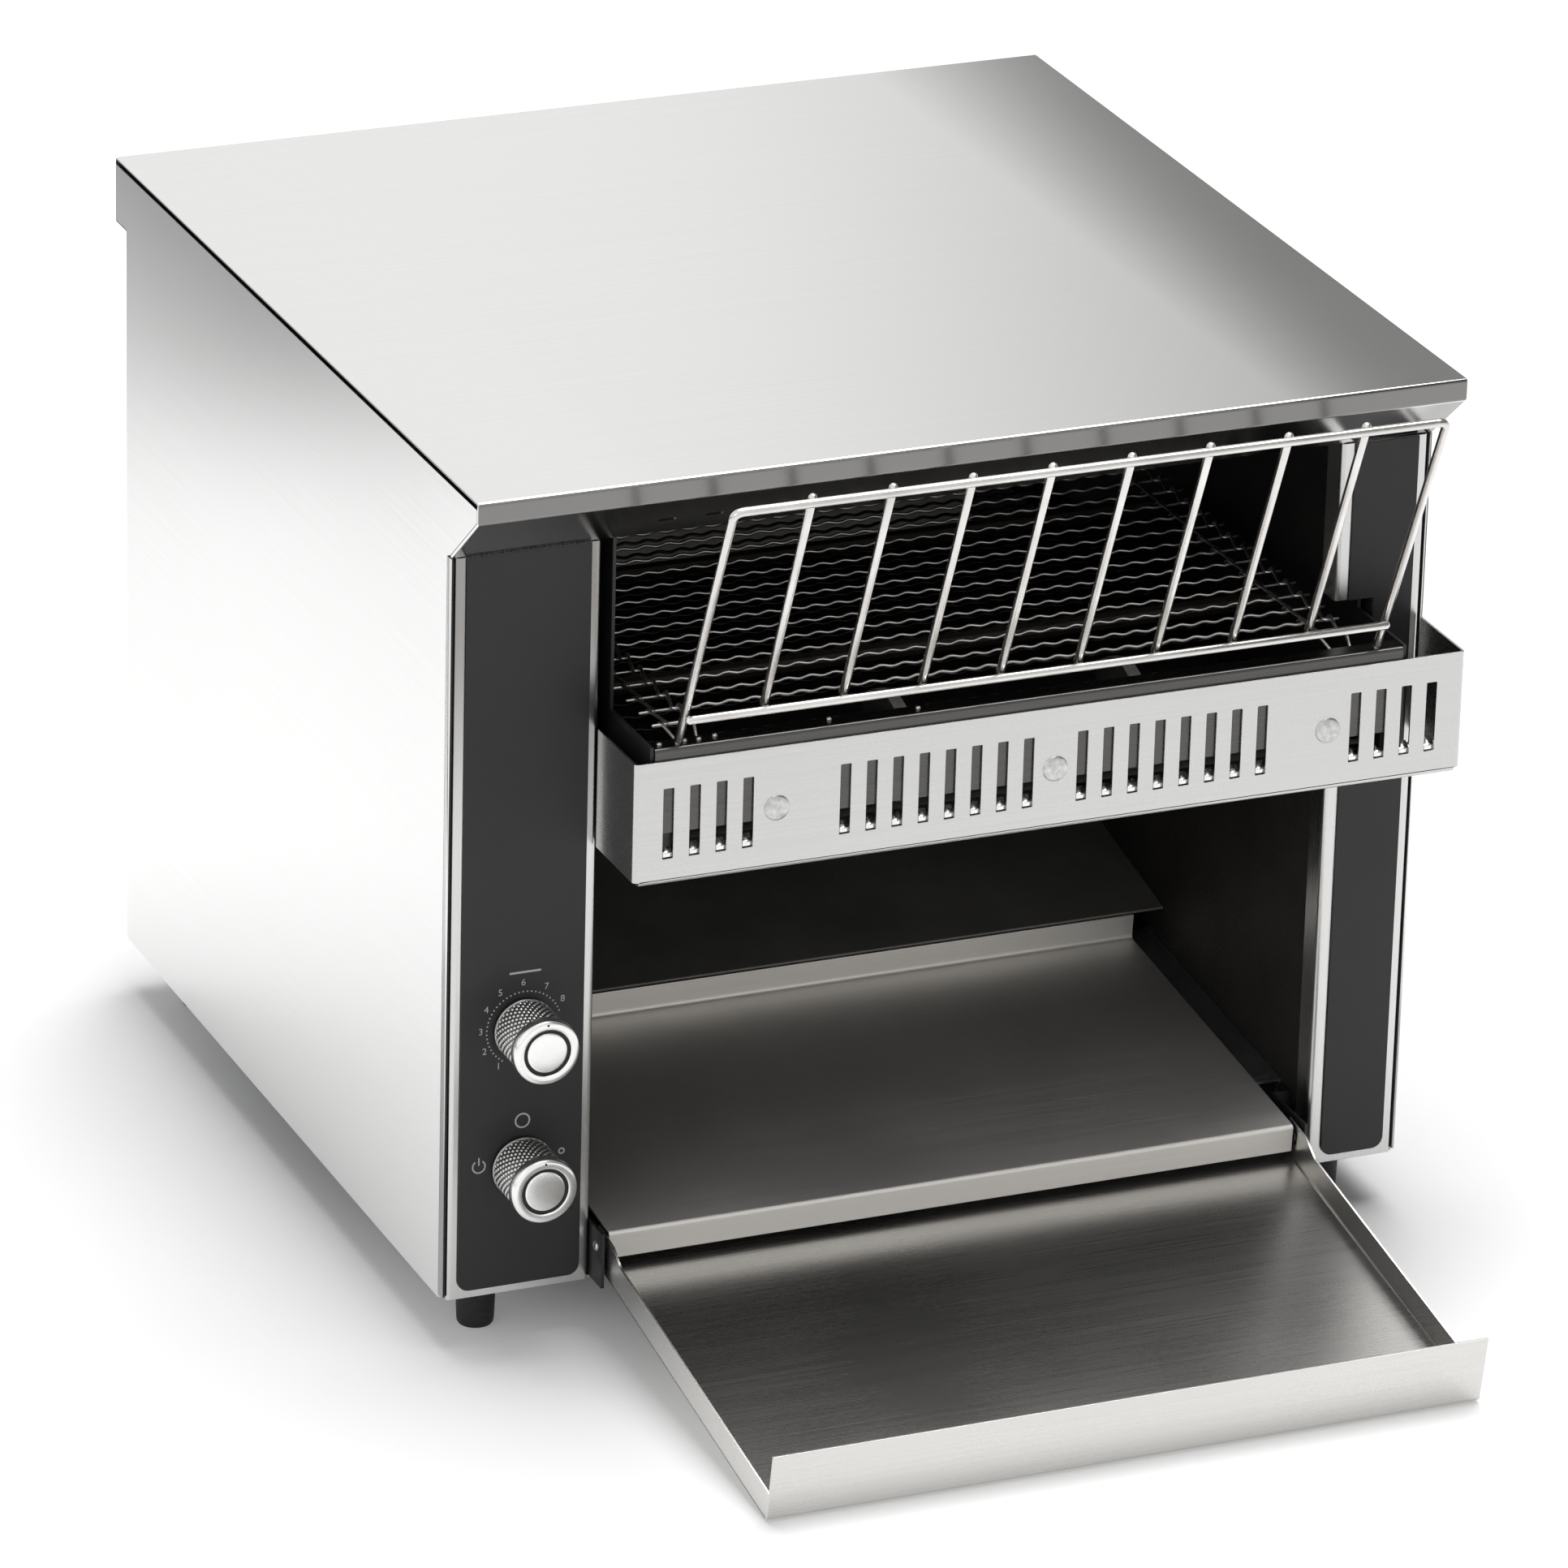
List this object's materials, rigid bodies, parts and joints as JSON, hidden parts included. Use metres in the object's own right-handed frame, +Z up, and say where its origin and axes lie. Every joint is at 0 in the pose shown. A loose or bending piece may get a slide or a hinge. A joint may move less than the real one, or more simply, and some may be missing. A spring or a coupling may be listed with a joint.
{
  "type": "conveyor bun toaster",
  "caption": "Countertop conveyor toaster: a wire belt carries cut buns between heaters, and they drop to a shelf and tray in front.",
  "frame": {"origin": "middle of the bounding box, on the surface that the feet stand on", "axes": "+Z up, +Y from the open front to the back, +X to the right as seen from the front"},
  "size_m": [0.47, 0.6478, 0.4309],
  "materials": {
    "stainless": "brushed stainless steel",
    "galvanised": "plain galvanised sheet",
    "dark_steel": "heat-darkened sheet",
    "black_paint": "black stove paint",
    "overlay_film": "charcoal printed film, satin",
    "chrome": "polished chrome plate",
    "belt_wire": "bright drawn wire",
    "satin_silver": "silver painted plastic, satin",
    "sprocket_steel": "plain machined steel",
    "rubber": "moulded black rubber",
    "bronze": "sintered bronze",
    "heater_sheath": "oxidised heater sheath",
    "cast_aluminium": "die cast, matte",
    "black_plastic": "moulded black plastic"
  },
  "bodies": {
    "housing": {"base_pan": "galvanised", "top_cover": "stainless", "left_side_panel": "stainless", "right_side_panel": "stainless", "rear_panel": "stainless", "left_fascia": "stainless", "right_fascia": "stainless", "control_overlay": "overlay_film", "right_overlay": "overlay_film", "left_inner_wall": "dark_steel", "right_inner_wall": "dark_steel", "conveyor_left_plate": "black_paint", "conveyor_right_plate": "black_paint", "upper_reflector": "galvanised", "conveyor_underpan": "dark_steel", "feed_guard": "stainless", "guard_screw_1": "chrome", "guard_screw_2": "chrome", "guard_screw_3": "chrome", "front_apron": "dark_steel", "rear_chute": "dark_steel", "left_shelf_rail": "galvanised", "right_shelf_rail": "galvanised", "left_tray_bracket": "galvanised", "right_tray_bracket": "galvanised", "left_edge_seal": "rubber", "right_edge_seal": "rubber", "idler_bush_left": "bronze", "idler_bush_right": "bronze", "drive_bush_left": "bronze", "drive_bush_right": "bronze", "speed_potentiometer": "black_plastic", "selector_switch": "black_plastic", "gear_motor": "cast_aluminium", "cooling_fan_frame": "black_plastic", "cord_gland": "black_plastic", "foot_front_left": "rubber", "foot_front_right": "rubber", "foot_rear_left": "rubber", "foot_rear_right": "rubber", "conveyor_belt": "belt_wire", "upper_heater_1": "heater_sheath", "upper_heater_2": "heater_sheath", "upper_heater_3": "heater_sheath", "lower_heater_1": "heater_sheath", "lower_heater_2": "heater_sheath"},
    "drive_train": {"drive_shaft": "chrome", "drive_sprocket_left": "sprocket_steel", "drive_sprocket_right": "sprocket_steel"},
    "idler": {"idler_shaft": "chrome", "idler_sprocket_left": "sprocket_steel", "idler_sprocket_right": "sprocket_steel"},
    "fan_rotor": {"cooling_fan_rotor": "black_plastic"},
    "speed_dial": {"speed_knob": "satin_silver", "speed_knob_cap": "chrome"},
    "selector_dial": {"selector_knob": "satin_silver", "selector_knob_cap": "chrome"},
    "shelf": {"discharge_shelf": "stainless"},
    "tray": {"collection_tray": "stainless"},
    "rack": {"loading_rack": "chrome"}
  },
  "joints": [
    {"name": "drive_spin", "type": "hinge", "parent": "housing", "child": "drive_train", "pos_m": [0.02375, 0.20495, 0.2708], "axis": [-1, 0, 0], "continuous": true, "deforming": ["conveyor_belt"]},
    {"name": "idler_spin", "type": "hinge", "parent": "housing", "child": "idler", "pos_m": [0.02375, -0.13033, 0.2708], "axis": [-1, 0, 0], "continuous": true},
    {"name": "fan_spin", "type": "hinge", "parent": "housing", "child": "fan_rotor", "pos_m": [-0.2006, 0.29217, 0.3254], "axis": [0, 1, 0], "continuous": true},
    {"name": "speed_knob_turn", "type": "hinge", "parent": "housing", "child": "speed_dial", "pos_m": [-0.1983, -0.12783, 0.1538], "axis": [0, 1, 0], "range_deg": [-135, 135]},
    {"name": "selector_turn", "type": "hinge", "parent": "housing", "child": "selector_dial", "pos_m": [-0.1983, -0.12783, 0.0868], "axis": [0, 1, 0], "range_deg": [-90, 45]},
    {"name": "shelf_slide", "type": "slide", "parent": "housing", "child": "shelf", "axis": [0, -0.9945, -0.1045], "range_m": [0, 0.1]},
    {"name": "tray_draw", "type": "slide", "parent": "housing", "child": "tray", "axis": [0, -1, 0], "range_m": [0, 0.02]},
    {"name": "rack_lift", "type": "slide", "parent": "housing", "child": "rack", "axis": [0, -0.4067, 0.9135], "range_m": [0, 0.04]}
  ],
  "couplings": [
    {"joint": "idler_spin", "follows": "drive_spin", "ratio": 1}
  ]
}
